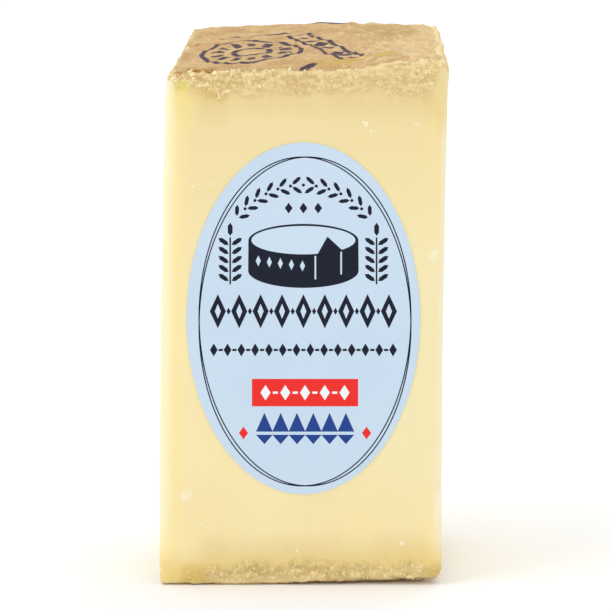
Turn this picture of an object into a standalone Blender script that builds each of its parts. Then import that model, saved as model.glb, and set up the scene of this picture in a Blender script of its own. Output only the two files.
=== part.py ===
# A wedge of hard cheese, cut from a wheel and standing as it lay in the wheel, with rind below and
# above, and the oval paper label on its front cut face. Metres, +Z up, the label faces -Y.

import math

import bmesh
import bpy
from mathutils import Vector, noise

# Cheese. The wheel's thickness stands upright, and the wedge narrows towards the back.
HEIGHT = 0.1145
DEPTH = 0.0500
FRONT_WIDTH = 0.0617
BACK_WIDTH = 0.0546
BACK_SHIFT = 0.0022  # the back's middle is this far right of the front's
LEAN = 0.0014  # the top stands this far right of the bottom
BOW = 0.0004  # the block bends this far left at half height
FRONT_TILT = 0.0035  # the upper rind's front is this much higher at its right end than at its left
BACK_TILT = 0.0004
CROWN = 0.0009  # the upper rind's middle is this much higher than its sides
TOP_ROUNDING = Vector((0.0014, 0.0026, 0.0021))  # the edges are rounded this far along each axis
FOOT_ROUNDING = Vector((0.0014, 0.0012, 0.0012))

# Rind relief
CRAG_REACH = 0.0062  # how far the crumbled edge runs from each rind corner, along both faces
CRAG_DEPTH = 0.0009
CRAG_SIZE = 0.0034
SKIN_DEPTH = 0.0007  # slow folds of the upper rind
SKIN_SIZE = 0.0150
SKIN_RISE = 0.0004  # the whole skin stands this much above its crumbled edge
TORN_LIP = ((-0.0240, -0.0215), (0.0042, 0.0018), 0.0008)  # middle, reach and height, on the upper rind
SMOOTH_DIP = ((0.0058, -0.0115), (0.0065, 0.0028), -0.0008)
SCRAPE = ((0.0180, -0.0026), (0.0032, 0.0024), -0.0004)
LONG_FOLD = ((0.0125, 0.0050), (0.0024, 0.0105), 0.0005)
FOOT_RISE = 0.0002  # the lower rind curls up this much at its outline
FOOT_LIFT = 0.0017  # and this much more at its right end
LIFT_START = -0.4  # as a share of the way from the middle to the right end

# Points of the surface: close together by the rind, far apart on the cut faces
FINE_STEP = 0.0011
RIND_STEP = 0.0023
CUT_STEP = 0.0190
FINE_REACH = 0.0077

# Label
LABEL_WIDTH = 0.0508
LABEL_HEIGHT = 0.0782
LABEL_THICKNESS = 0.0002
LABEL_GAP = 0.0003
LABEL_RIGHT = 0.0004  # its middle is this far right of the face's
LABEL_MIDDLE_Z = 0.0595
LABEL_SIDES = 96

PASTE_COLOUR = (0.87, 0.74, 0.42, 1.0)
PAPER_COLOUR = (0.60, 0.74, 0.90, 1.0)

HALF = Vector((FRONT_WIDTH / 2, DEPTH / 2, HEIGHT / 2))


def clear_scene():
    for found in list(bpy.data.objects):
        bpy.data.objects.remove(found)


def material(name, colour, roughness):
    made = bpy.data.materials.new(name)
    made.use_nodes = True
    shader = made.node_tree.nodes["Principled BSDF"]
    shader.inputs["Base Color"].default_value = colour
    shader.inputs["Roughness"].default_value = roughness
    return made


def smooth_step(value, low, high):
    share = min(1.0, max(0.0, (value - low) / (high - low)))
    return share * share * (3.0 - 2.0 * share)


def stations(half, step):
    """Where the block is sliced along one axis: closely near both ends, and between them at about the step."""
    count = round(FINE_REACH / FINE_STEP)
    rim = [half - FINE_STEP * i for i in range(1, count + 1)]
    middle = rim[-1]
    parts = max(1, round(2 * middle / step))
    inner = [middle - 2 * middle * i / parts for i in range(1, parts)]
    return rim + inner + [-place for place in rim]


def sliced_block():
    """A box at the wedge's size, its faces divided at the stations."""
    mesh = bmesh.new()
    bmesh.ops.create_cube(mesh, size=2.0)
    bmesh.ops.scale(mesh, vec=HALF, verts=mesh.verts)
    for axis, step in ((0, RIND_STEP), (1, RIND_STEP), (2, CUT_STEP)):
        across = Vector((0.0, 0.0, 0.0))
        across[axis] = 1.0
        for place in stations(HALF[axis], step):
            everything = mesh.verts[:] + mesh.edges[:] + mesh.faces[:]
            bmesh.ops.bisect_plane(mesh, geom=everything, plane_co=across * place, plane_no=across)
    return mesh


def rounded(point):
    """The point moved onto the block's rounded edges, and the direction that the surface faces there."""
    reach = FOOT_ROUNDING.lerp(TOP_ROUNDING, smooth_step(point.z, -HALF.z, HALF.z))
    core = Vector([max(r - h, min(h - r, c)) for c, h, r in zip(point, HALF, reach)])
    unit = Vector([away / r for away, r in zip(point - core, reach)]).normalized()
    outward = Vector([part / r for part, r in zip(unit, reach)]).normalized()
    return core + unit * reach, outward


def from_rind_corner(point):
    """How far the point of the box is from the nearest edge between a rind face and a cut face."""
    along_cut = HALF.z - abs(point.z)
    along_rind = min(HALF.x - abs(point.x), HALF.y - abs(point.y))
    return max(along_cut, along_rind)


def crags(point, corner):
    """Crumbs and torn hollows of the broken rind edge. They fade out on the faces."""
    share = 1.0 - smooth_step(corner, CRAG_REACH * 0.45, CRAG_REACH)
    broken = noise.turbulence(point / CRAG_SIZE, 3, True) - 0.5
    return CRAG_DEPTH * share * broken


def mark(point, middle, reach, height):
    """A single raised or sunken place on the upper rind, which dies away at its reach."""
    away = math.hypot((point.x - middle[0]) / reach[0], (point.y - middle[1]) / reach[1])
    return height * (1.0 - smooth_step(away, 0.0, 1.5))


def skin(point, corner):
    """The upper rind's slow folds and marks, and its small step up from the crumbled edge."""
    inside = smooth_step(corner, CRAG_REACH * 0.3, CRAG_REACH * 0.7)
    folds = noise.noise(Vector((point.x, point.y * 1.7, 0.0)) / SKIN_SIZE)
    marks = sum(mark(point, *shape) for shape in (TORN_LIP, SMOOTH_DIP, SCRAPE, LONG_FOLD))
    return inside * (SKIN_RISE + SKIN_DEPTH * folds) + marks


def foot(point, corner):
    """How far the lower rind curls up from its flat middle."""
    rim = 1.0 - smooth_step(corner, 0.0, CRAG_REACH)
    at_right = max(0.0, (point.x / HALF.x - LIFT_START) / (1.0 - LIFT_START))
    return rim * (FOOT_RISE + FOOT_LIFT * at_right)


def skewed(point):
    """Gives the upright block its wedge plan, lean, bow, and tilted and crowned top."""
    right = point.x / FRONT_WIDTH
    back = point.y / DEPTH + 0.5
    up = point.z / HEIGHT
    width = 1.0 + back * (BACK_WIDTH / FRONT_WIDTH - 1.0)
    x = point.x * width + BACK_SHIFT * back + LEAN * up - BOW * (1.0 - 4.0 * up * up)
    tilt = (FRONT_TILT + back * (BACK_TILT - FRONT_TILT)) * right
    crown = CROWN * (1.0 - 4.0 * right * right)
    z = point.z + HALF.z + (tilt + crown) * (up + 0.5)
    return Vector((x, point.y, z))


def surface(point):
    """Where a point of the plain box goes on the finished cheese."""
    corner = from_rind_corner(point)
    place, outward = rounded(point)
    on_rind = abs(point.z) > HALF.z - 1e-6
    above = point.z > 0.0
    if above or not on_rind:
        place += outward * crags(place, corner)
    if above and on_rind:
        place.z += skin(place, corner)
    if not above and HALF.z + point.z < CRAG_REACH:
        place.z += foot(place, corner)
    return skewed(place)


def add_piece(name, mesh, finish):
    data = bpy.data.meshes.new(name)
    mesh.to_mesh(data)
    mesh.free()
    data.materials.append(finish)
    piece = bpy.data.objects.new(name, data)
    bpy.context.scene.collection.objects.link(piece)
    return piece


def cheese():
    mesh = sliced_block()
    for vertex in mesh.verts:
        vertex.co = surface(vertex.co)
    bmesh.ops.triangulate(mesh, faces=mesh.faces)
    bmesh.ops.recalc_face_normals(mesh, faces=mesh.faces)
    return add_piece("cheese", mesh, material("cheese", PASTE_COLOUR, 0.5))


def label():
    """An oval of paper, upright on the front cut face."""
    mesh = bmesh.new()
    bmesh.ops.create_circle(mesh, cap_ends=True, radius=1.0, segments=LABEL_SIDES)
    bmesh.ops.scale(mesh, vec=(LABEL_WIDTH / 2, LABEL_HEIGHT / 2, 1.0), verts=mesh.verts)
    grown = bmesh.ops.extrude_face_region(mesh, geom=mesh.faces[:])
    moved = [item for item in grown["geom"] if isinstance(item, bmesh.types.BMVert)]
    bmesh.ops.translate(mesh, vec=(0.0, 0.0, LABEL_THICKNESS), verts=moved)
    bmesh.ops.recalc_face_normals(mesh, faces=mesh.faces)
    piece = add_piece("label", mesh, material("label", PAPER_COLOUR, 0.45))
    piece.rotation_euler.x = math.radians(90)
    piece.location = (LABEL_RIGHT - BOW, -HALF.y - LABEL_GAP, LABEL_MIDDLE_Z)
    return piece


def stand_on_origin(pieces):
    """Puts the middle of the pieces' footprint at the origin, and their lowest point at Z 0."""
    bpy.context.view_layer.update()
    corners = [p.matrix_world @ vertex.co for p in pieces for vertex in p.data.vertices]
    low = Vector([min(c[axis] for c in corners) for axis in range(3)])
    high = Vector([max(c[axis] for c in corners) for axis in range(3)])
    middle = (low + high) / 2
    for piece in pieces:
        piece.location -= Vector((middle.x, middle.y, low.z))


clear_scene()
stand_on_origin([cheese(), label()])
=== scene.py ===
import math
import random

import bpy
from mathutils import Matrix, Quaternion, Vector, noise


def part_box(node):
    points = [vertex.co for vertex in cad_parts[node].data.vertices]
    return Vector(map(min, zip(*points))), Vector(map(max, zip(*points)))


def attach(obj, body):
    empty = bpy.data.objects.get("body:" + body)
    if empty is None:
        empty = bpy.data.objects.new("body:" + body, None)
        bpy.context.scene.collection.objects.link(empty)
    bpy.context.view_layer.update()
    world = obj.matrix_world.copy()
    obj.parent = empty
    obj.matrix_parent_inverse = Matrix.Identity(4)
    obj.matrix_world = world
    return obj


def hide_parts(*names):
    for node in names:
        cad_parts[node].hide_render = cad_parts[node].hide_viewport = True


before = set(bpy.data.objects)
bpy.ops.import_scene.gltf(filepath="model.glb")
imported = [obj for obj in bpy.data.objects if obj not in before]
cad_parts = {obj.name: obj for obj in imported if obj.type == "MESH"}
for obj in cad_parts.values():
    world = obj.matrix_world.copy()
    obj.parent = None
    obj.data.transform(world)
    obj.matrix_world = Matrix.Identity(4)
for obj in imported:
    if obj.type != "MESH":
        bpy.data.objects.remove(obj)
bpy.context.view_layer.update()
print("frame loaded with", " and ".join(sorted(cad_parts)))

mm = 0.001


# selecting and finishing, used by every piece

def deselectAll():
    if bpy.context.object and bpy.context.object.mode != "OBJECT":
        bpy.ops.object.mode_set(mode="OBJECT")
    bpy.ops.object.select_all(action="DESELECT")


def makeActive(piece):
    deselectAll()
    piece.select_set(True)
    bpy.context.view_layer.objects.active = piece


def pick(kind, test):
    # in edit mode, leaves only the vertices, edges or faces that pass the test selected
    bpy.ops.mesh.select_mode(type=kind)
    bpy.ops.mesh.select_all(action="DESELECT")
    bpy.ops.object.mode_set(mode="OBJECT")
    mesh = bpy.context.object.data
    if kind == "EDGE":
        for edge in mesh.edges:
            edge.select = test(*(mesh.vertices[end].co for end in edge.vertices))
    elif kind == "FACE":
        for face in mesh.polygons:
            face.select = test(face.center, face.normal)
    else:
        for vertex in mesh.vertices:
            vertex.select = test(vertex.co)
    bpy.ops.object.mode_set(mode="EDIT")


def ease(value, low, high):
    # 0 at low, 1 at high, with a soft start and end
    share = min(1.0, max(0.0, (value - low) / (high - low)))
    return share * share * (3.0 - 2.0 * share)


def settle(piece, name):
    # the object ends at the origin, unturned and unscaled, with its place in its mesh
    makeActive(piece)
    bpy.ops.object.transform_apply(location=True, rotation=True, scale=True)
    piece.name = name
    piece.data.name = name
    return piece


def hold(piece, node):
    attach(piece, "root")
    if node:
        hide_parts(node)


# material nodes, used by every material

def paint(red, green, blue):
    # a colour as the eye reads it, 0 to 255, turned into the light values that the shader takes
    def light(value):
        value /= 255
        return value / 12.92 if value <= 0.04045 else ((value + 0.055) / 1.055) ** 2.4

    return (light(red), light(green), light(blue), 1.0)


def blankMaterial(name):
    material = bpy.data.materials.new(name)
    material.use_nodes = True
    tree = material.node_tree
    return material, tree, tree.nodes["Principled BSDF"]


def feed(tree, socket, value):
    if isinstance(value, bpy.types.NodeSocket):
        tree.links.new(value, socket)
    else:
        socket.default_value = value


def objectPlace(tree):
    return tree.nodes.new("ShaderNodeTexCoord").outputs["Object"]


def figure(tree, operation, *values):
    node = tree.nodes.new("ShaderNodeMath")
    node.operation = operation
    for socket, value in zip(node.inputs, values):
        feed(tree, socket, value)
    return node.outputs["Value"]


def times(tree, *values):
    product = values[0]
    for value in values[1:]:
        product = figure(tree, "MULTIPLY", product, value)
    return product


def offBy(tree, value, middle):
    # how far the value is from the middle one, either way
    return figure(tree, "ABSOLUTE", figure(tree, "SUBTRACT", value, middle))


def vectorFigure(tree, operation, *values):
    node = tree.nodes.new("ShaderNodeVectorMath")
    node.operation = operation
    for socket, value in zip(node.inputs, values):
        feed(tree, socket, value)
    return node.outputs["Value" if operation == "LENGTH" else "Vector"]


def axes(tree, where):
    apart = tree.nodes.new("ShaderNodeSeparateXYZ")
    feed(tree, apart.inputs[0], where)
    return apart.outputs


def speckle(tree, where, size, detail=3.0, roughness=0.55, colour=False):
    node = tree.nodes.new("ShaderNodeTexNoise")
    feed(tree, node.inputs["Vector"], where)
    node.inputs["Scale"].default_value = 1 / size
    node.inputs["Detail"].default_value = detail
    node.inputs["Roughness"].default_value = roughness
    return node.outputs["Color" if colour else "Fac"]


def fromFleck(tree, where, apart, size):
    # the way from the nearest fleck's middle, as a share of its reach. Flecks are round, at random places
    # and of every size up to this one.
    node = tree.nodes.new("ShaderNodeTexVoronoi")
    feed(tree, node.inputs["Vector"], where)
    node.inputs["Scale"].default_value = 1 / apart
    chance = tree.nodes.new("ShaderNodeSeparateColor")
    feed(tree, chance.inputs[0], node.outputs["Color"])
    reach = times(tree, chance.outputs[0], size / apart)
    return figure(tree, "DIVIDE", node.outputs["Distance"], reach)


def spread(tree, value, low, high, start=0.0, end=1.0):
    # start where the value is low, end where it is high, clamped and eased between
    node = tree.nodes.new("ShaderNodeMapRange")
    node.interpolation_type = "SMOOTHSTEP"
    feed(tree, node.inputs["Value"], value)
    node.inputs["From Min"].default_value = low
    node.inputs["From Max"].default_value = high
    feed(tree, node.inputs["To Min"], start)
    feed(tree, node.inputs["To Max"], end)
    return node.outputs["Result"]


def mixed(tree, share, first, second):
    node = tree.nodes.new("ShaderNodeMix")
    node.data_type = "RGBA"
    feed(tree, node.inputs[0], share)
    feed(tree, node.inputs[6], first)
    feed(tree, node.inputs[7], second)
    return node.outputs[2]


def bumped(tree, shader, layers):
    # each layer is a height, its depth in metres and its strength
    normal = None
    for height, depth, strength in layers:
        node = tree.nodes.new("ShaderNodeBump")
        feed(tree, node.inputs["Height"], height)
        node.inputs["Distance"].default_value = depth
        node.inputs["Strength"].default_value = strength
        if normal:
            feed(tree, node.inputs["Normal"], normal)
        normal = node.outputs["Normal"]
    feed(tree, shader.inputs["Normal"], normal)


# the block of cheese: a box is finely divided near its rinds, caged into the wedge, laid on the CAD
# solid and then roughened

block = {
    "rim": 8.5 * mm,  # finely divided this far from every edge
    "rimCuts": 26,
    "betweenCuts": (96, 72, 24),  # across, back and up
    "nearby": 2.5 * mm,  # how far round a spot the CAD's points are looked for
    "cageInset": 5 * mm,  # the CAD is measured this far in from its corners
    "smoothing": 3,
}

relief = {  # size and depth of each kind
    "knifeWaves": (24.0 * mm, 0.10 * mm),
    "wrinkles": (6.0 * mm, 0.35 * mm),
    "pores": (1.4 * mm, 0.18 * mm),
    "lumps": (2.4 * mm, 0.45 * mm),
    "flakes": (1.3 * mm, 0.50 * mm),
    "grains": (0.6 * mm, 0.24 * mm),
    "skinStep": 0.35 * mm,  # the skin stands this much above the crumbs
}

# Where the skin stops and where the clean paste starts: mm down the cut face from the rind's corner, or
# less than 0 on the rind. Crumbs lie between. A pair is two places in mm, and what it names fades in
# from the first to the second.
bands = {
    "footSkin": -1.0,
    "footPaste": 5.2,
    "footEnds": ((-27.5, -20.0), (30.5, 27.5)),  # at the front's ends, the clean paste goes down to the foot
    "sideSkin": -1.4,
    "rightSkin": -2.2,
    "sidePaste": 5.2,
    "frontSkin": -2.4,
    "frontSkinSteps": ((2.6, (-22.0, 2.0)), (-3.8, (8.0, 25.0))),
    "frontPaste": 6.4,
    "frontPasteSlope": 1.7,  # more at the right end, and less at the left end
    "frontBulge": (1.8, (-25.5, -23.0), (-16.5, -18.5)),
    "tears": ((1.5, 6.0), (0.8, 2.0)),  # how far and how widely the bands wander
    "cornerShare": 0.15,  # how much of the crumbs' band is left at the upright corners
    "leftCorner": (0.6, 3.4),
    "rightCorner": (1.2, 4.8),
    "skinFade": (0.2, -0.4),
    "crumbleFade": (0.5, -2.0),
    "knifeFade": (5.0, 15.0),
    "resting": -4.0,  # past this way onto the lower rind, it is left flat
    "sideCrumble": 0.4,  # how broken the left and right rind edges are, beside the front one
}

labelLow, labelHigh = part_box("label")
labelMiddle = (labelLow + labelHigh) / 2
labelHalf = (labelHigh - labelLow) / 2
cadGap = 0.3 * mm
faceY = labelHigh.y + cadGap  # the front cut face

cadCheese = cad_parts["cheese"]
cheeseLow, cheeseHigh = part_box("cheese")
cheeseMiddle = (cheeseLow + cheeseHigh) / 2
cheeseHalf = (cheeseHigh - cheeseLow) / 2


def cadSpan(axis, spot):
    # the lowest and the highest place along the axis among the CAD cheese's points near this spot
    others = [i for i in range(3) if i != axis]
    points = [vertex.co for vertex in cadCheese.data.vertices]
    near = [point[axis] for point in points if all(abs(point[i] - spot[i]) < block["nearby"] for i in others)]
    return min(near), max(near)


def divide(axis, low, high, cuts):
    # cuts every edge of the block that runs along the axis between the two places
    def runsThere(first, last):
        step = last - first
        return abs(step[axis]) > 0.99 * step.length and low < (first[axis] + last[axis]) / 2 < high

    pick("EDGE", runsThere)
    bpy.ops.mesh.subdivide(number_cuts=cuts)


def dividedBox():
    deselectAll()
    centre, half = cheeseMiddle, cheeseHalf
    bpy.ops.mesh.primitive_cube_add(size=2, location=centre, scale=half)
    box = settle(bpy.context.object, "cheeseBlock")
    bpy.ops.object.mode_set(mode="EDIT")
    for axis in range(3):
        turn = Vector([float(i == axis) for i in range(3)])
        inner = half[axis] - block["rim"]
        for side in (-1, 1):
            bpy.ops.mesh.select_all(action="SELECT")
            bpy.ops.mesh.bisect(plane_co=centre + turn * side * inner, plane_no=turn)
    for axis in range(3):
        inner = half[axis] - block["rim"]
        divide(axis, centre[axis] - inner, centre[axis] + inner, block["betweenCuts"][axis])
        divide(axis, centre[axis] - half[axis], centre[axis] - inner, block["rimCuts"])
        divide(axis, centre[axis] + inner, centre[axis] + half[axis], block["rimCuts"])
    bpy.ops.object.mode_set(mode="OBJECT")
    return box


def frontBandEnds(right):
    skinEnd = bands["frontSkin"] + sum(step * ease(right, *ends) for step, ends in bands["frontSkinSteps"])
    bulge, leftEnds, rightEnds = bands["frontBulge"]
    pasteStart = bands["frontPaste"] + bands["frontPasteSlope"] * right / (cheeseHalf.x / mm)
    return skinEnd, pasteStart + bulge * ease(right, *leftEnds) * ease(right, *rightEnds)


def bandEnds(away, atFront, upright):
    # where the skin stops and where the clean paste starts, in metres
    right = away.x / mm
    if away.z < 0:
        skinEnd, pasteStart = bands["footSkin"], bands["footPaste"]
        if atFront:
            pasteStart *= math.prod(ease(right, *ends) for ends in bands["footEnds"])
    elif atFront:
        skinEnd, pasteStart = frontBandEnds(right)
    else:
        onRight = away.x > 0.8 * cheeseHalf.x
        skinEnd, pasteStart = bands["rightSkin" if onRight else "sideSkin"], bands["sidePaste"]
    corner = bands["rightCorner" if right > 0 else "leftCorner"]
    least = bands["cornerShare"]
    pasteStart *= least + (1 - least) * ease(upright / mm, *corner)
    return skinEnd * mm, pasteStart * mm


def markBands(box):
    # toSkin is less than 0 on the skin and toPaste is more than 0 on the clean paste. Crumbs lie between.
    # uprightEdge is the way from the nearest upright edge.
    ways = {"toSkin": [], "toPaste": [], "uprightEdge": []}
    groups = {name: box.vertex_groups.new(name=name) for name in ("crumble", "skin", "cutFace")}
    for vertex in box.data.vertices:
        away = vertex.co - cheeseMiddle
        toSide, toFront, toRind = (cheeseHalf[i] - abs(away[i]) for i in range(3))
        inward = min(toSide, toFront)
        edge = toRind if inward < 0.001 * mm else -inward
        upright = max(toSide, toFront)
        skinEnd, pasteStart = bandEnds(away, toFront < toSide and away.y < 0, upright)
        tear = sum(reach * mm * noise.noise(vertex.co / (size * mm)) for reach, size in bands["tears"])
        toSkin = edge - skinEnd + tear
        toPaste = edge - pasteStart - tear
        ways["toSkin"].append(toSkin)
        ways["toPaste"].append(toPaste)
        ways["uprightEdge"].append(upright)
        onSkin = ease(toSkin / mm, *bands["skinFade"])
        resting = away.z < 0 and edge < bands["resting"] * mm
        calm = 1.0 if toFront < toSide else bands["sideCrumble"]
        shares = {
            "crumble": calm * (1 - onSkin) * ease(toPaste / mm, *bands["crumbleFade"]),
            "skin": onSkin,
            "cutFace": ease(edge / mm, *bands["knifeFade"]),
        }
        for name, share in shares.items():
            groups[name].add([vertex.index], 0.0 if resting else share, "REPLACE")
    for name, values in ways.items():
        mark(box, name, values)


def mark(piece, name, values):
    piece.data.attributes.new(name, "FLOAT", "POINT").data.foreach_set("value", values)


def cageToWedge(box):
    # a cage of eight points takes the box to the CAD wedge's slanting sides and tilted top
    centre, half = cheeseMiddle, cheeseHalf
    deselectAll()
    bpy.ops.object.add(type="LATTICE", location=centre)
    cage = bpy.context.object
    cage.scale = half * 2
    cage.data.interpolation_type_u = "KEY_LINEAR"
    cage.data.interpolation_type_v = "KEY_LINEAR"
    cage.data.interpolation_type_w = "KEY_LINEAR"
    inset = block["cageInset"]
    for point in cage.data.points:
        side = [math.copysign(1, part) for part in point.co]
        height = centre.z + side[2] * (half.z - inset)
        spots = [Vector((0, centre.y + way * (half.y - inset), height)) for way in (-1, 1)]
        ends = [cadSpan(0, spot)[side[0] > 0] for spot in spots]
        slope = (ends[1] - ends[0]) / (2 * (half.y - inset))
        x = (ends[0] + ends[1]) / 2 + side[1] * half.y * slope
        corner = Vector((x - side[0] * inset, centre.y + side[1] * (half.y - inset), 0))
        z = cadSpan(2, corner)[side[2] > 0]
        point.co_deform = ((x - centre.x) / (2 * half.x), point.co.y, (z - centre.z) / (2 * half.z))
    makeActive(box)
    bpy.ops.object.modifier_add(type="LATTICE")
    box.modifiers[-1].object = cage
    bpy.ops.object.modifier_apply(modifier=box.modifiers[-1].name)
    bpy.data.objects.remove(cage)


def layOnCad(box):
    makeActive(box)
    bpy.ops.object.modifier_add(type="SHRINKWRAP")
    box.modifiers[-1].target = cadCheese
    bpy.ops.object.modifier_apply(modifier=box.modifiers[-1].name)
    bpy.ops.object.modifier_add(type="SMOOTH")
    box.modifiers[-1].iterations = block["smoothing"]
    bpy.ops.object.modifier_apply(modifier=box.modifiers[-1].name)


def push(piece, group, depth, middle=0.5, texture=None, ruler=None):
    makeActive(piece)
    bpy.ops.object.modifier_add(type="DISPLACE")
    pushing = piece.modifiers[-1]
    pushing.vertex_group = group
    pushing.strength = depth
    pushing.mid_level = middle
    if texture:
        pushing.texture = texture
        pushing.texture_coords = "OBJECT"
        pushing.texture_coords_object = ruler
    bpy.ops.object.modifier_apply(modifier=pushing.name)


def roughen(piece, name, kind, group, stretch=(1, 1, 1), middle=0.5, **settings):
    size, depth = relief[name]
    texture = bpy.data.textures.new(name, kind)
    texture.noise_scale = 1.0
    for setting, value in settings.items():
        setattr(texture, setting, value)
    deselectAll()
    bpy.ops.object.empty_add()
    ruler = bpy.context.object
    ruler.scale = [size * part for part in stretch]
    bpy.context.view_layer.update()
    push(piece, group, depth, middle, texture, ruler)
    bpy.data.objects.remove(ruler)


def flattenFoot(box):
    # what the relief pushed through the board goes back up onto it
    bpy.ops.object.mode_set(mode="EDIT")
    pick("VERT", lambda place: place.z < 0.01 * mm)
    bpy.ops.transform.resize(value=(1, 1, 0), center_override=(0, 0, 0))
    bpy.ops.object.mode_set(mode="OBJECT")


def makeCheese():
    box = dividedBox()
    markBands(box)
    cageToWedge(box)
    layOnCad(box)
    smoothPlaces = [vertex.co.copy() for vertex in box.data.vertices]
    outward = [vertex.normal.copy() for vertex in box.data.vertices]
    push(box, "skin", relief["skinStep"], 0.0)
    roughen(box, "knifeWaves", "CLOUDS", "cutFace", stretch=(1, 1, 0.6))
    roughen(box, "wrinkles", "MUSGRAVE", "skin", stretch=(1, 0.6, 1), middle=1.3,
            musgrave_type="RIDGED_MULTIFRACTAL")
    roughen(box, "pores", "CLOUDS", "skin", noise_depth=2)
    roughen(box, "lumps", "CLOUDS", "crumble", stretch=(1.4, 1.4, 0.8), noise_depth=2)
    roughen(box, "flakes", "VORONOI", "crumble", stretch=(1.6, 1.6, 0.8), middle=0.4)
    roughen(box, "grains", "CLOUDS", "crumble", noise_depth=1)
    flattenFoot(box)
    ways = zip(box.data.vertices, smoothPlaces, outward)
    mark(box, "raised", [(vertex.co - start).dot(out) for vertex, start, out in ways])
    makeActive(box)
    bpy.ops.object.shade_smooth()
    return box


cheeseLook = {
    "paste": paint(249, 232, 180),
    "pasteDeep": paint(247, 228, 174),
    "pasteHigh": paint(239, 219, 163),
    # pasteSide tints the streaks, and is also painted light near the upright corners, strongest at the left
    "pasteSide": paint(255, 233, 166),
    "pasteRight": paint(244, 231, 182),
    "fleck": paint(253, 243, 210),
    # the two rim colours below are a painted highlight along the upright corners, paler at the left where the
    # light comes from
    "rimHighlightLeft": paint(253, 245, 207),
    "rimHighlightRight": paint(246, 235, 200),
    "underRind": paint(229, 204, 142),
    "underFoot": paint(236, 209, 128),
    "crumb": paint(222, 193, 132),
    "crumbPale": paint(248, 225, 170),
    "crumbPaintedHighlight": paint(255, 240, 196),
    "crumbPaintedShade": paint(196, 160, 94),
    "footCrumb": paint(208, 183, 118),
    "footRight": paint(229, 206, 142),
    "skin": paint(210, 173, 121),
    "skinDark": paint(198, 158, 108),
    "skinPale": paint(236, 209, 154),
    "skinInk": paint(66, 52, 74),
    "cutRoughness": 0.45,
    "brokenRoughness": 0.75,
    "gloss": 0.35,
    "milkiness": 0.12,  # how much light goes in under the surface, how deep, and how far each colour goes
    "milkDepth": 2 * mm,
    "milkColours": (1.0, 0.7, 0.35),
}

# Ways in which places are shaken before a grain follows them: the size of the shaking noise in mm, its
# detail, and how far it moves a place in mm.
cheeseShakes = {
    "twisted": (1.6, 1, 1.5),
    "bent": (5, 3, 3),
    "shaken": (2, 3, 0.4),
}

# Grains: the places that each follows, its stretch along each axis, its size in mm, detail and roughness.
cheeseGrains = {
    "wide": ("straight", (1, 1, 1), 24, 1, 0.55),
    "coarse": ("straight", (1, 1, 1), 4.5, 3, 0.55),
    "ripples": ("straight", (1, 1, 1), 2.2, 2, 0.55),
    "fine": ("straight", (1, 1, 1), 1.1, 4, 0.55),
    "tiny": ("straight", (1, 1, 1), 0.45, 2, 0.55),
    "streaks": ("straight", (1, 1, 0.03), 4, 2, 0.55),
    "bristles": ("straight", (1, 1, 0.5), 0.55, 1, 0.55),
    "threads": ("twisted", (1, 1, 1), 0.9, 1, 0.55),
    "veins": ("bent", (1, 0.55, 1), 3.4, 2, 0.55),
    "patches": ("bent", (1, 0.6, 1), 2.6, 4, 0.65),
}

# Layers of colour, each over the ones before it: a colour, and the fades that bring it in. A fade is what
# it follows, from where to where, and how strong it is at each end. Ways are in mm. A fade with a name
# alone is followed as it is.
pasteLayers = [
    ("pasteDeep", ("wide", 0.3, 0.7)),
    ("pasteSide", ("streaks", 0.45, 0.75, 0.0, 0.2)),
    ("pasteHigh", ("up", 60, 104, 0.0, 0.75)),
    # painted light: warmer, brighter paste near the upright corners, strongest at the left, where the light
    # comes from
    ("pasteSide", ("upright", 1.5, 8, 1.0, 0.0), ("right", -8, 8, 0.85, 0.2)),
    ("fleck", ("fromFleck", 1.0, 0.4, 0.0, 0.5)),
    ("pasteRight", ("right", 2, 24, 0.0, 0.9), ("up", 100, 60), ("up", 10, 30)),
    ("underRind", ("toPaste", -1, 9, 0.7, 0.0), ("right", -29, -20, 0.3, 1.0)),
    ("underFoot", ("fromFoot", 9.8, 1.5, 0.0, 0.85)),
    # painted highlight: the pale rim along the upright corners, narrower at the right and fading towards the
    # back
    ("rim", ("fromRimHighlight", 1.2, 3.5, 0.8, 0.0), ("up", 4, 16, 0.1, 1.0), ("depth", -10, 15, 1.0, 0.3),
     ("rimHighlightTop",)),
]
crumbLayers = [
    ("crumbPale", ("fine", 0.50, 0.66)),
    ("crumbPale", ("right", -5, 15, 0.0, 0.25)),
    # painted shadow: thin dark lines beside the pale curls, stronger at the left
    ("crumbPaintedShade", ("fromCurlShadow", 0.034, 0.008), ("atLeft", 0, 1, 0.45, 0.9)),
    # painted highlight: pale curls in the crumbs, near white at the left
    ("curl", ("fromCurl", 0.035, 0.010, 0.0, 0.9)),
    # painted highlight: a bright crest just below the skin's edge, stronger at the right
    ("crumbPale", ("fromCrestHighlight", 1.0, 0.3), ("right", -12, 2, 0.15, 0.6)),
    # painted highlight on the raised crumbs
    ("crumbPale", ("raised", 0.02, 0.26, 0.0, 0.8)),
    # painted shade in the crumbs' hollows, deeper at the left
    ("crumbPaintedShade", ("raised", -0.06, -0.30), ("atLeft", 0, 1, 0.5, 0.8)),
]
footCrumbLayers = [
    ("crumb", ("fine", 0.42, 0.62)),
    ("footRight", ("right", 2, 28, 0.0, 0.85)),
    ("crumbPale", ("bristles", 0.55, 0.66, 0.0, 0.85)),
    # painted highlight on the raised crumbs at the foot
    ("crumbPale", ("raised", 0.04, 0.30, 0.0, 0.5)),
    # painted light: paler towards the bottom edge, to offset the contact shadow from the floor
    ("crumbPale", ("up", 2.8, 0.4, 0.0, 0.6)),
]
skinLayers = [
    ("skinDark", ("coarse", 0.40, 0.65)),
    ("skinPale", ("fromVein", 0.030, 0.004), ("flaky", 0, 1, 0.2, 0.75)),
    ("skinPale", ("patches", 0.47, 0.62), ("flaky", 0, 1, 0.28, 0.8)),
    ("skinPale", ("right", 15, 27, 0.0, 0.4)),
]
skinDust = [("skinPale", ("tiny", 0.54, 0.66), ("flaky", 0, 1, 0.25, 0.5))]

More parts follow.
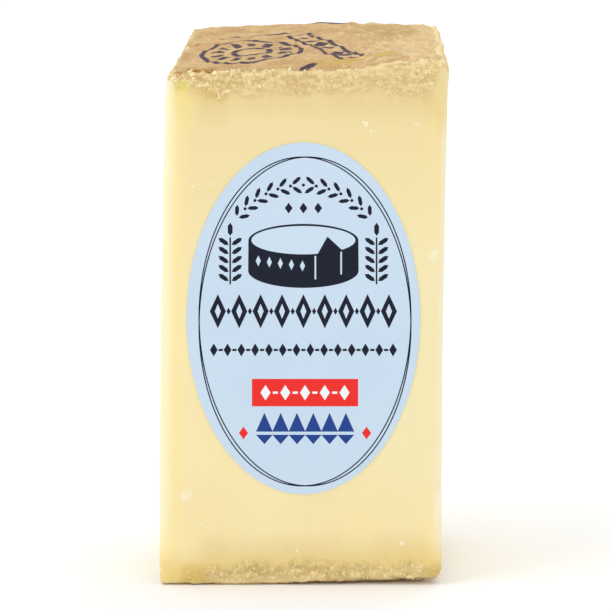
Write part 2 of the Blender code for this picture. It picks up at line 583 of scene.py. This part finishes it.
# marks on the upper rind: middle and reach in mm, turn in degrees, and colour
skinStains = {
    "gold": ((6.5, -21.0), (7.5, 3.0), 0, paint(204, 166, 78)),
    "scratch": ((17.0, -17.5), (5.0, 1.4), 28, paint(198, 176, 70)),
    "crease": ((-20.9, 2.8), (5.6, 1.0), 0, paint(178, 96, 40)),
    "brown": ((17.0, 12.5), (9.0, 8.5), 10, paint(191, 157, 98)),
}
# a painted shadow under the skin's torn lip at the front left: middle and reach in mm, turn in degrees, and
# colour
tornLipShadow = ((-23.8, -22.0), (6.0, 5.0), 0, paint(178, 124, 46))
frontStains = {  # right and up on the front face, and how strong
    "yellowBand": ((-21.0, 110.0), (8.0, 4.0), 0, paint(232, 202, 116), 0.45),
    "yellowCorner": ((-26.0, 106.8), (2.9, 7.0), -8, paint(244, 226, 138), 0.6),
    "greenSmear": ((-26.7, 111.0), (2.3, 1.5), -25, paint(224, 214, 104), 0.8),
    "goldenFoot": ((-24.0, 1.4), (5.0, 4.6), 8, paint(221, 188, 104), 0.85),
    "oliveFoot": ((29.4, 2.0), (4.6, 4.2), 0, paint(202, 176, 104), 0.9),
    "oliveCorner": ((30.0, 107.0), (4.5, 9.0), 0, paint(233, 209, 138), 0.6),
    "paleFleckLow": ((-25.6, 20.0), (1.7, 2.0), 30, paint(255, 246, 216), 0.7),
    "paleFleckHigh": ((28.3, 73.5), (1.1, 2.4), 25, paint(253, 243, 214), 0.8),
    "paleFleckSide": ((29.2, 17.5), (1.2, 5.5), 5, paint(253, 243, 214), 0.7),
}

# How a stain or the ink fades: by its own edge, as shares of its reach, and by a grain that wears it.
stainEdges = {
    "skin": (1.15, 0.5, 0.0, 0.9),
    "front": (1.0, 0.3, 0.0),
    "lipShadow": (1.0, 0.6),
    # the painted shadow under the torn lip fades by its edge as well
    "stroke": (1.0, 0.75),
}
wear = {
    "skin": ("patches", 0.62, 0.45, 0.45, 1.0),
    "front": ("fine", 0.36, 0.52, 0.4, 1.0),
    "ink": ("fine", 0.30, 0.39, 0.3, 0.95),
}

# The rind's ink, with places as for the stains. Other figures are shares of a reach, and a pair of them
# is where the ink fades from and to.
stampBand = {
    "place": ((4.6, -4.5), (3.0, 15.0), 24),
    "end": (1.0, 0.94),
    "lozenges": 3.5,  # in half its length
    "slant": 2.2,
    "lozengeEdge": (0.66, 0.78),
    "rail": (0.68, 0.58),
}
stampRings = [  # the last figure is half the line's width
    ((-11.4, -7.6), (10.8, 11.4), 0, 0.065),
    ((-11.4, -7.6), (4.0, 4.4), 0, 0.22),
]
stampTeeth = {  # dashes between the two rings
    "count": 14,
    "wide": (0.30, 0.22),
    "middle": 0.70,
    "long": (0.15, 0.11),
}
stampStrokes = [
    ((-11.0, 9.6), (9.5, 0.9), 3),
    ((1.0, -23.6), (2.4, 0.8), 24),
    ((5.5, 22.6), (6.0, 1.6), 0),
    ((17.0, 23.0), (6.5, 0.8), -2),
]


def readMark(tree, name):
    node = tree.nodes.new("ShaderNodeAttribute")
    node.attribute_name = name
    return node.outputs["Fac"]


def spot(tree, where, middle, reach, turn=0.0, onFront=False):
    # where a place lies within a mark, as shares of the mark's reach. Marks are on the upper rind or on
    # the front face.
    node = tree.nodes.new("ShaderNodeMapping")
    node.vector_type = "TEXTURE"
    feed(tree, node.inputs["Vector"], where)
    up = (0, 1) if onFront else (1, 0)
    node.inputs["Location"].default_value = (middle[0] * mm, middle[1] * mm * up[0], middle[1] * mm * up[1])
    node.inputs["Rotation"].default_value = (0, math.radians(turn) * up[1], math.radians(turn) * up[0])
    node.inputs["Scale"].default_value = [reach[0] * mm] + [reach[1] * mm if flag else 1 for flag in up]
    return vectorFigure(tree, "MULTIPLY", node.outputs["Vector"], (1, *up))


def fromSpot(tree, where, *place):
    return vectorFigure(tree, "LENGTH", spot(tree, where, *place))


def bandInk(tree, where):
    # a slanting band with two rails and a row of lozenges
    across, along, _ = axes(tree, spot(tree, where, *stampBand["place"]))
    across = figure(tree, "ABSOLUTE", across)
    inBand = spread(tree, figure(tree, "MAXIMUM", across, figure(tree, "ABSOLUTE", along)), *stampBand["end"])
    repeat = figure(tree, "FRACT", times(tree, along, stampBand["lozenges"]))
    lozenge = figure(tree, "MULTIPLY_ADD", offBy(tree, repeat, 0.5), stampBand["slant"], across)
    beyond = spread(tree, lozenge, *stampBand["lozengeEdge"])
    bare = times(tree, beyond, spread(tree, across, *stampBand["rail"]))
    return figure(tree, "SUBTRACT", inBand, bare)


def teethInk(tree, where):
    # dashes that point out from the rings' middle
    place = stampRings[0][:3]
    right, back, _ = axes(tree, spot(tree, where, *place))
    angle = figure(tree, "ARCTAN2", back, right)
    repeat = figure(tree, "FRACT", times(tree, angle, stampTeeth["count"] / (2 * math.pi)))
    tooth = spread(tree, offBy(tree, repeat, 0.5), *stampTeeth["wide"])
    fromRow = offBy(tree, fromSpot(tree, where, *place), stampTeeth["middle"])
    return times(tree, tooth, spread(tree, fromRow, *stampTeeth["long"]))


def stamp(tree, where):
    # worn violet ink on the upper rind: a band of lozenges, a toothed ring and a few strokes
    shares = [bandInk(tree, where), teethInk(tree, where)]
    for *place, line in stampRings:
        shares.append(spread(tree, offBy(tree, fromSpot(tree, where, *place), 1.0), line, line * 0.6))
    for place in stampStrokes:
        shares.append(spread(tree, fromSpot(tree, where, *place), *stainEdges["stroke"]))
    total = shares[0]
    for share in shares[1:]:
        total = figure(tree, "MAXIMUM", total, share)
    return total


def readCheese(tree):
    # all that the layers of colour follow. Ways are in mm, and places in metres.
    at = {"straight": objectPlace(tree)}
    for name, (size, detail, reach) in cheeseShakes.items():
        shake = speckle(tree, at["straight"], size * mm, detail, colour=True)
        moved = vectorFigure(tree, "MULTIPLY", shake, (reach * mm,) * 3)
        at[name] = vectorFigure(tree, "ADD", at["straight"], moved)
        at[name + "Back"] = vectorFigure(tree, "SUBTRACT", at[name], (reach / 2 * mm,) * 3)
    for name, (places, stretch, size, detail, roughness) in cheeseGrains.items():
        stretched = vectorFigure(tree, "MULTIPLY", at[places], stretch)
        at[name] = speckle(tree, stretched, size * mm, detail, roughness)

    at["right"], at["depth"], at["up"] = (times(tree, way, 1 / mm) for way in axes(tree, at["straight"]))
    at["raised"] = times(tree, readMark(tree, "raised"), 1 / mm)
    at["upright"] = times(tree, readMark(tree, "uprightEdge"), 1 / mm)
    wander = times(tree, figure(tree, "SUBTRACT", at["fine"], 0.5), 2.4)
    for name in ("toSkin", "toPaste"):
        at[name] = figure(tree, "MULTIPLY_ADD", readMark(tree, name), 1 / mm, wander)

    at["atLeft"] = spread(tree, at["right"], -6, -18)
    at["atRight"] = spread(tree, at["right"], -5, 5)
    flakyWay = figure(tree, "MULTIPLY_ADD", figure(tree, "SUBTRACT", at["coarse"], 0.5), 30, at["right"])
    at["flaky"] = spread(tree, flakyWay, 6, 15)  # the right part of the skin is the more broken
    at["fromFleck"] = fromFleck(tree, at["straight"], 8.5 * mm, 1.0 * mm)
    at["fromFoot"] = figure(tree, "SUBTRACT", at["up"], spread(tree, at["right"], 10, 28, 0.0, 2.4))
    at["fromCurl"] = offBy(tree, at["threads"], 0.56)
    at["fromCurlShadow"] = offBy(tree, at["threads"], 0.46)
    at["fromVein"] = offBy(tree, at["veins"], 0.5)
    at["fromCrestHighlight"] = offBy(tree, at["toSkin"], 1.0)
    return at


def readRimHighlight(tree, at):
    # a painted highlight: the pale rim along the upright corners, where the rounded edges catch the light. It
    # is narrower at the right, and fainter there by the top
    narrower = spread(tree, at["up"], 90, 40, 1.8, 1.15)
    at["fromRimHighlight"] = times(tree, at["upright"], spread(tree, at["atRight"], 0, 1, 1.0, narrower))
    at["rimHighlightTop"] = spread(tree, at["up"], 112, 100, spread(tree, at["atRight"], 0, 1, 0.9, 0.3), 1.0)


def faded(tree, at, follows, *ends):
    return spread(tree, at[follows], *ends) if ends else at[follows]


def layered(tree, at, look, colour, layers):
    for tone, *fades in layers:
        share = times(tree, *(faded(tree, at, *fade) for fade in fades))
        colour = mixed(tree, share, colour, look[tone])
    return colour


def pasteAndCrumbs(tree, at):
    look = dict(cheeseLook)
    # the rim's painted highlight, paler at the left
    look["rim"] = mixed(tree, at["atRight"], look["rimHighlightLeft"], look["rimHighlightRight"])
    # the curls' painted highlight, near white at the left
    look["curl"] = mixed(tree, at["atLeft"], look["crumbPale"], look["crumbPaintedHighlight"])
    paste = layered(tree, at, look, look["paste"], pasteLayers)
    crumb = layered(tree, at, look, look["crumb"], crumbLayers)
    footCrumb = layered(tree, at, look, look["footCrumb"], footCrumbLayers)
    crumb = mixed(tree, spread(tree, at["up"], 12, 9), crumb, footCrumb)
    colour = mixed(tree, spread(tree, at["toPaste"], 1.0, -1.8), paste, crumb)
    atFront = spread(tree, at["depth"], -20, -23)
    for *place, tone, strength in frontStains.values():
        away = fromSpot(tree, at["shakenBack"], *place, True)
        stain = spread(tree, away, *stainEdges["front"], strength)
        stain = times(tree, stain, faded(tree, at, *wear["front"]), atFront)
        colour = mixed(tree, stain, colour, tone)
    return colour


def skinColour(tree, at, onTop):
    skin = layered(tree, at, cheeseLook, cheeseLook["skin"], skinLayers)
    for *place, tone in skinStains.values():
        stain = spread(tree, fromSpot(tree, at["bentBack"], *place), *stainEdges["skin"])
        skin = mixed(tree, times(tree, stain, faded(tree, at, *wear["skin"])), skin, tone)
    skin = layered(tree, at, cheeseLook, skin, skinDust)
    inked = times(tree, stamp(tree, at["shakenBack"]), faded(tree, at, *wear["ink"]), onTop)
    return mixed(tree, inked, skin, cheeseLook["skinInk"])


def lipShadowShare(tree, at, onTop):
    # a painted shadow: a dark line under the skin's torn edge
    *place, _ = tornLipShadow
    lipShadow = spread(tree, fromSpot(tree, at["straight"], *place), *stainEdges["lipShadow"])
    under = spread(tree, offBy(tree, at["toSkin"], 0.3), 0.5, 0.15)
    return times(tree, lipShadow, under, onTop)


def makeCheeseMaterial():
    look = cheeseLook
    material, tree, shader = blankMaterial("cheesePasteAndRind")
    at = readCheese(tree)
    readRimHighlight(tree, at)
    onTop = spread(tree, at["up"], 90, 100)
    onSkin = spread(tree, at["toSkin"], 0.3, -0.3)
    colour = mixed(tree, onSkin, pasteAndCrumbs(tree, at), skinColour(tree, at, onTop))
    # the painted shadow under the skin's torn lip
    colour = mixed(tree, lipShadowShare(tree, at, onTop), colour, tornLipShadow[-1])
    feed(tree, shader.inputs["Base Color"], colour)

    broken = spread(tree, at["toPaste"], 1.5, -1.5)
    roughness = spread(tree, broken, 0.0, 1.0, look["cutRoughness"], look["brokenRoughness"])
    feed(tree, shader.inputs["Roughness"], roughness)
    vein = spread(tree, at["fromVein"], 0.030, 0.004)
    curl = spread(tree, at["fromCurl"], 0.035, 0.010, 0.0, 0.9)
    bumped(tree, shader, [
        (times(tree, at["patches"], onSkin), 0.8 * mm, 0.6),
        (times(tree, vein, onSkin), 0.12 * mm, 0.5),
        (times(tree, curl, broken), 0.18 * mm, 0.6),
        (times(tree, at["tiny"], broken), 0.30 * mm, 0.7),
        (at["ripples"], 0.05 * mm, 0.3),
    ])
    shader.inputs["Specular IOR Level"].default_value = look["gloss"]
    shader.inputs["Subsurface Weight"].default_value = look["milkiness"]
    shader.inputs["Subsurface Radius"].default_value = look["milkColours"]
    shader.inputs["Subsurface Scale"].default_value = look["milkDepth"]
    return material


cheese = makeCheese()
cheese.data.materials.append(makeCheeseMaterial())
hold(cheese, "cheese")
print("cheese block made,", len(cheese.data.polygons), "faces")


# crumbs that cling to the broken rind edges, and pale crystals in the front cut face

crumbs = {
    "kinds": 5,
    "apart": 10.0,  # each kind stands this far on while its lumps are pushed out, so that no two are alike
    "faceting": 2,
    "lumpSize": 0.9,  # beside a chip of radius 1
    "lumpDepth": 0.9,
    "count": 420,
    "sizes": (0.28 * mm, 0.75 * mm),
    "curlCount": 80,  # larger ones at the left end of the upper front edge
    "curlSizes": (0.40 * mm, 0.95 * mm),
    "curlCorner": (-14 * mm, -22 * mm, 100 * mm),
    "brokenShare": 0.55,  # how broken the rind is at the least where they cling
    "aboveFoot": 1.5 * mm,
    "sideways": 0.6,  # how far the surface faces left or right at the most
    "smallness": 2.5,  # the higher, the fewer are large
    "tilt": 0.5,
    "sunk": 0.1,  # of their size
    "flatness": (1.0, 0.50, 0.32),
    "seed": 11,
    "colour": paint(240, 218, 165),
    "pale": paint(252, 237, 194),
    "dark": paint(214, 182, 118),
    "roughness": 0.6,
}

crystals = {
    "places": [  # right and up from the foot's middle, and size, all in mm
        (13.6, 102.6, 0.70), (14.6, 101.1, 0.40), (-24.0, 88.8, 0.4), (-25.5, 19.7, 0.60),
        (-22.5, 13.4, 0.5), (12.9, 103.1, 0.40), (4.7, 15.2, 0.4), (-1.4, 7.7, 0.4),
        (16.7, 19.2, 0.4), (21.4, 9.4, 0.6), (8.4, 20.1, 0.35), (28.6, 23.0, 0.4),
        (21.4, 30.8, 0.35), (26.9, 73.4, 0.45), (27.7, 72.9, 0.3), (-27.4, 55.0, 0.35),
    ],
    "kind": 7,  # none of the crumbs' kinds
    "flatness": (1.0, 0.8, 0.22),
    "colour": paint(252, 238, 202),
    "roughness": 0.5,
}


def makeChip(kind, flatness):
    deselectAll()
    place = (kind * crumbs["apart"], 0, 0)
    bpy.ops.mesh.primitive_ico_sphere_add(subdivisions=crumbs["faceting"], radius=1, location=place)
    chip = bpy.context.object
    texture = bpy.data.textures.new("chipping", "CLOUDS")
    texture.noise_scale = crumbs["lumpSize"]
    bpy.ops.object.modifier_add(type="DISPLACE")
    chip.modifiers[-1].texture = texture
    chip.modifiers[-1].texture_coords = "GLOBAL"
    chip.modifiers[-1].strength = crumbs["lumpDepth"]
    bpy.ops.object.modifier_apply(modifier=chip.modifiers[-1].name)
    chip.location = (0, 0, 0)
    chip.scale = flatness
    bpy.ops.object.transform_apply(location=True, rotation=True, scale=True)
    return chip


def scatter(chips, places, name):
    # copies of the chips, each with its own mesh, joined into one piece. A place is a point, a way out,
    # a size, a turn and a kind.
    copies = []
    for point, out, size, turn, kind in places:
        makeActive(chips[kind])
        bpy.ops.object.duplicate()
        copy = bpy.context.object
        copy.rotation_euler = (out.to_track_quat("Z", "Y") @ Quaternion((0, 0, 1), turn)).to_euler()
        copy.location = point
        copy.scale = (size,) * 3
        copies.append(copy)
    deselectAll()
    for copy in copies:
        copy.select_set(True)
    bpy.context.view_layer.objects.active = copies[0]
    bpy.ops.object.join()
    piece = settle(bpy.context.object, name)
    bpy.ops.object.shade_smooth()
    for chip in chips:
        bpy.data.objects.remove(chip)
    return piece


def brokenVertices():
    # all vertices where crumbs cling, and those of them at the left end of the upper front edge
    share = cheese.vertex_groups["crumble"].index
    least = crumbs["brokenShare"]
    broken = [v for v in cheese.data.vertices if any(g.group == share and g.weight > least for g in v.groups)]
    broken = [v for v in broken if v.co.z > crumbs["aboveFoot"] and abs(v.normal.x) < crumbs["sideways"]]
    left, front, top = crumbs["curlCorner"]
    return broken, [v for v in broken if v.co.x < left and v.co.y < front and v.co.z > top]


def makeCrumbs():
    rolls = random.Random(crumbs["seed"])
    broken, atLeft = brokenVertices()
    places = []
    for vertices, count, sizes in (
        (broken, crumbs["count"], crumbs["sizes"]),
        (atLeft, crumbs["curlCount"], crumbs["curlSizes"]),
    ):
        for vertex in rolls.sample(vertices, count):
            size = sizes[0] + (sizes[1] - sizes[0]) * rolls.random() ** crumbs["smallness"]
            out = vertex.normal + crumbs["tilt"] * Vector([rolls.uniform(-1, 1) for _ in range(3)])
            turn, kind = rolls.uniform(0, 6.3), rolls.randrange(crumbs["kinds"])
            places.append((vertex.co - vertex.normal * size * crumbs["sunk"], out, size, turn, kind))
    chips = [makeChip(kind, crumbs["flatness"]) for kind in range(crumbs["kinds"])]
    return scatter(chips, places, "rindCrumbs")


def makeCrystals():
    places = []
    for x, z, size in crystals["places"]:
        places.append((Vector((x * mm, faceY, z * mm)), Vector((0, -1, 0)), size * mm, x, 0))
    return scatter([makeChip(crystals["kind"], crystals["flatness"])], places, "pasteCrystals")


def makeCrumbMaterial():
    material, tree, shader = blankMaterial("crumbs")
    where = objectPlace(tree)
    tone = speckle(tree, where, 1.4 * mm, 2.0)
    colour = mixed(tree, spread(tree, tone, 0.40, 0.50), crumbs["dark"], crumbs["colour"])
    colour = mixed(tree, spread(tree, tone, 0.52, 0.62), colour, crumbs["pale"])
    feed(tree, shader.inputs["Base Color"], colour)
    shader.inputs["Roughness"].default_value = crumbs["roughness"]
    return material


def makeCrystalMaterial():
    material, tree, shader = blankMaterial("crystals")
    shader.inputs["Base Color"].default_value = crystals["colour"]
    shader.inputs["Roughness"].default_value = crystals["roughness"]
    return material


rindCrumbs = makeCrumbs()
rindCrumbs.data.materials.append(makeCrumbMaterial())
hold(rindCrumbs, None)
pasteCrystals = makeCrystals()
pasteCrystals.data.materials.append(makeCrystalMaterial())
hold(pasteCrystals, None)
print("crumbs and crystals made")


# the paper label: an oval sticker lying on the front cut face

sticker = {
    "sides": 160,
    "sunk": 0.10 * mm,
    "proud": 0.15 * mm,
    "paper": paint(198, 219, 238),
    "paperPale": paint(201, 221, 239),
    "roughness": (0.34, 0.44),
}


def makeSticker():
    deselectAll()
    bpy.ops.mesh.primitive_circle_add(vertices=sticker["sides"], radius=1, fill_type="NGON",
                                      location=(labelMiddle.x, faceY + sticker["sunk"], labelMiddle.z),
                                      rotation=(math.radians(90), 0, 0))
    oval = bpy.context.object
    oval.scale = (labelHalf.x, labelHalf.z, 1)
    settle(oval, "labelSticker")
    bpy.ops.object.mode_set(mode="EDIT")
    bpy.ops.mesh.select_all(action="SELECT")
    thickness = sticker["sunk"] + sticker["proud"]
    bpy.ops.mesh.extrude_region_move(TRANSFORM_OT_translate={"value": (0, -thickness, 0)})
    bpy.ops.mesh.select_all(action="SELECT")
    bpy.ops.mesh.normals_make_consistent(inside=False)
    bpy.ops.object.mode_set(mode="OBJECT")
    return oval


def makePaperMaterial():
    material, tree, shader = blankMaterial("labelPaper")
    where = objectPlace(tree)
    cloud = speckle(tree, where, 14 * mm, 2.0)
    colour = mixed(tree, spread(tree, cloud, 0.35, 0.65), sticker["paper"], sticker["paperPale"])
    feed(tree, shader.inputs["Base Color"], colour)
    fibre = speckle(tree, where, 0.35 * mm, 3.0)
    feed(tree, shader.inputs["Roughness"], spread(tree, fibre, 0.3, 0.7, *sticker["roughness"]))
    bumped(tree, shader, [(fibre, 0.01 * mm, 0.3)])
    return material


label = makeSticker()
label.data.materials.append(makePaperMaterial())
hold(label, "label")
print("label sticker made")


# the label's print: each ink is one thin piece on the paper, drawn in mm right and up from the label's
# middle. A later ink lies on the ones before it.

ink = {
    "thickness": 0.03 * mm,
    "step": 0.015 * mm,
    "roughness": 0.45,
    "gloss": 0.12,
    "navy": paint(26, 31, 46),
    "red": paint(238, 50, 44),
    "blue": paint(38, 68, 144),
    "paper": paint(203, 223, 240),
    "white": paint(240, 245, 250),
}


def startInk(name, colour, layer):
    # what is drawn from here until dryInk goes into this piece
    deselectAll()
    bpy.ops.object.add(type="MESH", location=(0, 0, 0))
    piece = bpy.context.object
    piece.name = name
    piece.data.name = name
    material, tree, shader = blankMaterial(name)
    shader.inputs["Base Color"].default_value = colour
    shader.inputs["Roughness"].default_value = ink["roughness"]
    shader.inputs["Specular IOR Level"].default_value = ink["gloss"]
    piece.data.materials.append(material)
    ink["front"] = faceY - sticker["proud"] - layer * ink["step"]
    bpy.ops.object.mode_set(mode="EDIT")
    return piece


def dryInk(piece):
    bpy.ops.mesh.select_all(action="SELECT")
    bpy.ops.mesh.extrude_region_move(TRANSFORM_OT_translate={"value": (0, ink["thickness"], 0)})
    bpy.ops.mesh.select_all(action="SELECT")
    bpy.ops.mesh.normals_make_consistent(inside=False)
    bpy.ops.object.mode_set(mode="OBJECT")
    hold(piece, None)


def onLabel(right, up):
    return Vector((labelMiddle.x + right * mm, ink["front"], labelMiddle.z + up * mm))


def draw(sides, right, up, wide, high, turn=0.0):
    # a filled shape with this many sides: 3 a peak, 4 a lozenge, 6 a leaf, many an oval
    place = onLabel(right, up)
    bpy.ops.mesh.select_all(action="DESELECT")
    bpy.ops.mesh.primitive_circle_add(vertices=sides, radius=1, fill_type="NGON", location=place,
                                      rotation=(math.radians(90), 0, 0))
    bpy.ops.transform.resize(value=(wide / 2 * mm, 1, high / 2 * mm), center_override=place)
    bpy.ops.transform.rotate(value=math.radians(turn), orient_axis="Y", center_override=place)


def drawBar(right, up, wide, high, turn=0.0):
    draw(4, right, up, 1, 1)
    place = onLabel(right, up)
    bpy.ops.transform.rotate(value=math.radians(45), orient_axis="Y", center_override=place)
    bpy.ops.transform.resize(value=(wide * math.sqrt(2), 1, high * math.sqrt(2)), center_override=place)
    bpy.ops.transform.rotate(value=math.radians(turn), orient_axis="Y", center_override=place)


def drawRing(line, *shape):
    draw(*shape)
    bpy.ops.mesh.inset(thickness=line * mm)
    bpy.ops.mesh.delete(type="FACE")


def again(count, right, up=0.0):
    # copies of what was drawn last, each one step further
    for _ in range(count):
        bpy.ops.mesh.duplicate_move(TRANSFORM_OT_translate={"value": (right * mm, 0, up * mm)})


garland = {  # leaves in pairs along an arc, with a dot between the pairs
    "middleUp": 11.8,
    "radius": 17.9,
    "reach": 54,  # degrees to each side of the top
    "pairs": 12,
    "leaf": (0.95, 2.5),
    "leafOut": 1.05,
    "leafTurn": 52,
    "dot": 0.7,
}

sprig = {  # a stem with pairs of leaves, and one leaf on top
    "right": 15.9,
    "stem": (12.9, 0.35, 10.4),
    "pairs": 5,
    "lowest": 9.2,
    "step": 2.0,
    "leaf": (1.1, 2.7),
    "leafOut": 1.45,
    "leafTurn": -55,
    "topLeaf": (19.9, 1.2, 2.9),
}


def onArc(radius, angle):
    lean = math.radians(angle)
    return radius * math.sin(lean), garland["middleUp"] + radius * math.cos(lean)


def drawGarland():
    reach, pairs = garland["reach"], garland["pairs"]
    for i in range(pairs):
        angle = reach * ((2 * i + 1) / pairs - 1)
        for side in (-1, 1):
            place = onArc(garland["radius"] + side * garland["leafOut"], angle)
            tip = math.copysign(garland["leafTurn"], angle) * side
            draw(6, *place, *garland["leaf"], tip - angle)
        if i:
            draw(12, *onArc(garland["radius"], angle - reach / pairs), garland["dot"], garland["dot"])


def drawSprig(side):
    right = side * sprig["right"]
    drawBar(right, *sprig["stem"])
    for i in range(sprig["pairs"]):
        up = sprig["lowest"] + sprig["step"] * i
        for way in (-1, 1):
            draw(6, right + way * sprig["leafOut"], up, *sprig["leaf"], sprig["leafTurn"] * way)
    draw(6, right, *sprig["topLeaf"])


def drawWheel(right, up, wide, high, tall):
    # a low wheel seen from a little above: an oval whose upper half is moved up. It is drawn first in
    # its ink.
    draw(64, right, up, wide, high)
    middle = onLabel(right, up).z
    pick("VERT", lambda place: place.z > middle + 0.01 * mm)
    bpy.ops.transform.translate(value=(0, 0, tall * mm))


# Rows on the label: how many shapes, the step between them, where the first one is, and its size.
frieze = (9, 4.65, (-18.6, 1.7), (3.5, 7.6))
friezeHoles = (9, 4.65, (-18.6, 1.7), (1.3, 3.3))
friezeBeads = (8, 4.65, (-16.275, 1.7), (0.9, 1.6))
border = (14, 3.0, (-19.5, -6.9), (1.7, 2.9))
borderDashes = (13, 3.0, (-18.0, -6.9), (0.9, 0.5))
topRow = (3, 3.2, (-3.2, 24.6), (1.7, 2.4))
peaks = (6, 3.55, (-8.5, -23.7), (4.2, 5.6))
reflection = (6, 3.55, (-8.5, -26.5), (4.2, 2.8))
barLozenges = (5, 4.3, (-8.25, -16.4), (2.2, 3.4))
barDashes = (4, 4.3, (-6.1, -16.4), (1.1, 0.5))

# Single shapes on the label: right and up, then wide and high
ring = ((0.35, -0.65), (46.3, 73.4))
ringLine = 0.26
ringTurn = 1.6  # one ring leans this far to each side, in degrees
redBar = ((0.35, -16.4), (23.1, 6.1))
redLozenge = ((13.4, -25.4), (2.0, 2.8))  # this far to each side of the bar's middle
wheel = ((0, 10.7), (24.0, 7.6))
wheelTall = 6.6
wheelTop = ((0, 17.5), (22.6, 6.3))
wheelCuts = [((2.6, 11.4), (0.35, 5.2)), ((8.2, 12.4), (0.35, 5.0))]
wheelRow = ((-9.8, 12.9), (1.1, 2.4))
wheelRowStep = (2.4, -0.28)
notch = ((5.6, 15.87), (6.6, 4.9))  # where a wedge has been lifted
notchTurn = 9


def drawRow(row, sides=4, turn=0.0):
    count, step, place, size = row
    draw(sides, *place, *size, turn)
    again(count - 1, step)


def drawDashes(row):
    count, step, place, size = row
    drawBar(*place, *size)
    again(count - 1, step)


def printNavy():
    piece = startInk("labelNavyPrint", ink["navy"], 1)
    drawWheel(*wheel[0], *wheel[1], wheelTall)
    for turn in (ringTurn, -ringTurn):
        drawRing(ringLine, 160, *ring[0], *ring[1], turn)
    drawGarland()
    drawRow(topRow)
    for side in (-1, 1):
        drawSprig(side)
    drawRow(frieze)
    drawRow(friezeBeads)
    drawRow(border)
    drawDashes(borderDashes)
    dryInk(piece)


def printRed():
    piece = startInk("labelRedPrint", ink["red"], 1)
    drawBar(*redBar[0], *redBar[1])
    (out, up), size = redLozenge
    for side in (-1, 1):
        draw(4, redBar[0][0] + side * out, up, *size)
    dryInk(piece)


def printBlue():
    piece = startInk("labelBluePrint", ink["blue"], 1)
    drawRow(peaks, 3)
    drawRow(reflection, 3, 180)
    dryInk(piece)


def printBare():
    # places in the navy ink that show the paper's colour
    piece = startInk("labelBarePrint", ink["paper"], 2)
    draw(48, *wheelTop[0], *wheelTop[1])
    for place, size in wheelCuts:
        drawBar(*place, *size)
    draw(4, *wheelRow[0], *wheelRow[1])
    again(4, *wheelRowStep)
    drawRow(friezeHoles)
    dryInk(piece)


def printWhite():
    piece = startInk("labelWhitePrint", ink["white"], 2)
    drawRow(barLozenges)
    drawDashes(barDashes)
    dryInk(piece)


def printNotch():
    piece = startInk("labelNotchPrint", ink["navy"], 3)
    draw(3, *notch[0], *notch[1], notchTurn)
    dryInk(piece)


printNavy()
printRed()
printBlue()
printBare()
printWhite()
printNotch()
print("label printed")


# floor, lights and camera

stage = {
    "floorSize": 6.0,
    "floor": paint(254, 254, 254),
    "floorShade": paint(252, 252, 252),
    "floorRoughness": 0.9,
    "skyStrength": 0.92,
    "aim": Vector((0, 0, 0.055)),
    "lightSize": 1.0,
    "lights": {  # place and power
        "keyLight": ((-0.9, -0.5, 1.9), 7),
        "backLight": ((0.6, 1.4, 1.6), 5),
    },
}


def makeFloor():
    deselectAll()
    bpy.ops.mesh.primitive_plane_add(size=stage["floorSize"], location=(0, 0, 0))
    floor = bpy.context.object
    floor.name = "floor"
    material, tree, shader = blankMaterial("paleFloor")
    cloud = speckle(tree, objectPlace(tree), 0.2, 2.0)
    feed(tree, shader.inputs["Base Color"], mixed(tree, cloud, stage["floor"], stage["floorShade"]))
    shader.inputs["Roughness"].default_value = stage["floorRoughness"]
    floor.data.materials.append(material)


def makeLight(name, place, power):
    deselectAll()
    bpy.ops.object.light_add(type="AREA", location=place)
    light = bpy.context.object
    light.name = name
    light.data.shape = "DISK"
    light.data.size = stage["lightSize"]
    light.data.energy = power
    aim = stage["aim"] - Vector(place)
    light.rotation_euler = aim.to_track_quat("-Z", "Y").to_euler()


def makeSky():
    world = bpy.data.worlds.new("studio")
    world.use_nodes = True
    sky = world.node_tree.nodes["Background"]
    sky.inputs["Color"].default_value = (1, 1, 1, 1)
    sky.inputs["Strength"].default_value = stage["skyStrength"]
    bpy.context.scene.world = world


makeFloor()
for name, (place, power) in stage["lights"].items():
    makeLight(name, place, power)
makeSky()
print("floor and lights made")

view = {
    "elevation": 12.0,
    "distance": 3.2,
    "pixels": 610,
    "pixelsPerMetre": 4600,  # on the front cut face
    "labelPixelX": 303.4,
    "footPixelY": 586.5,
}


def makeCamera():
    tilt = math.radians(view["elevation"])
    scale = view["pixelsPerMetre"]
    middle = view["pixels"] / 2
    aim = Vector((
        labelMiddle.x + (middle - view["labelPixelX"]) / scale,
        faceY,
        (view["footPixelY"] - middle) / scale / math.cos(tilt),
    ))
    away = Vector((0, -math.cos(tilt), math.sin(tilt)))
    deselectAll()
    bpy.ops.object.camera_add(location=aim + away * view["distance"])
    camera = bpy.context.object
    camera.rotation_euler = (math.radians(90) - tilt, 0, 0)
    camera.data.lens = camera.data.sensor_width * view["distance"] * scale / view["pixels"]
    camera.data.clip_end = 20
    bpy.context.scene.camera = camera


makeCamera()
bpy.context.scene.view_settings.view_transform = "Standard"
print("camera placed")
